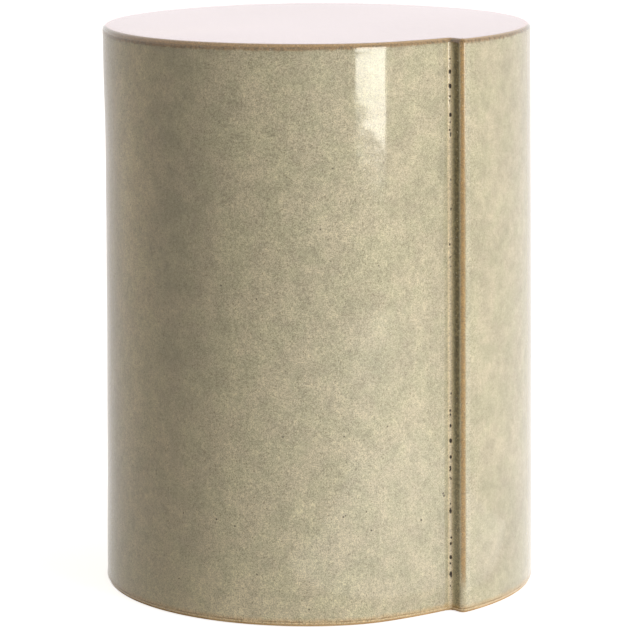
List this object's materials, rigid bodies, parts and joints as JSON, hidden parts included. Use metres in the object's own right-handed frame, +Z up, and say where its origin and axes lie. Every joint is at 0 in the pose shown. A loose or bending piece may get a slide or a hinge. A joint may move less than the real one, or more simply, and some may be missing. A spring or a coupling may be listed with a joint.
{
  "type": "garden stool",
  "caption": "Round hollow stoneware stool, a slab of clay wrapped into a drum with a lapped upright seam, a flat seat and a glossy speckled glaze.",
  "frame": {"origin": "on the floor, in the middle of the footprint's box", "axes": "+Z up; -Y is the front, with the lapped seam in the front right quarter, towards +X"},
  "size_m": [0.3466, 0.3416, 0.45],
  "materials": {
    "clay": "matt",
    "glaze": "gloss",
    "pad": "matt",
    "adhesive": "matt"
  },
  "bodies": {
    "root": {"wall_slab": "clay", "seat_slab": "clay", "seam_slip": "clay", "lap_coil": "clay", "seat_coil": "clay", "foot_coil": "clay", "glaze_coat": "glaze", "foot_pad_1": "pad", "foot_pad_2": "pad", "foot_pad_3": "pad", "foot_pad_4": "pad", "pad_adhesive_1": "adhesive", "pad_adhesive_2": "adhesive", "pad_adhesive_3": "adhesive", "pad_adhesive_4": "adhesive"}
  },
  "joints": []
}
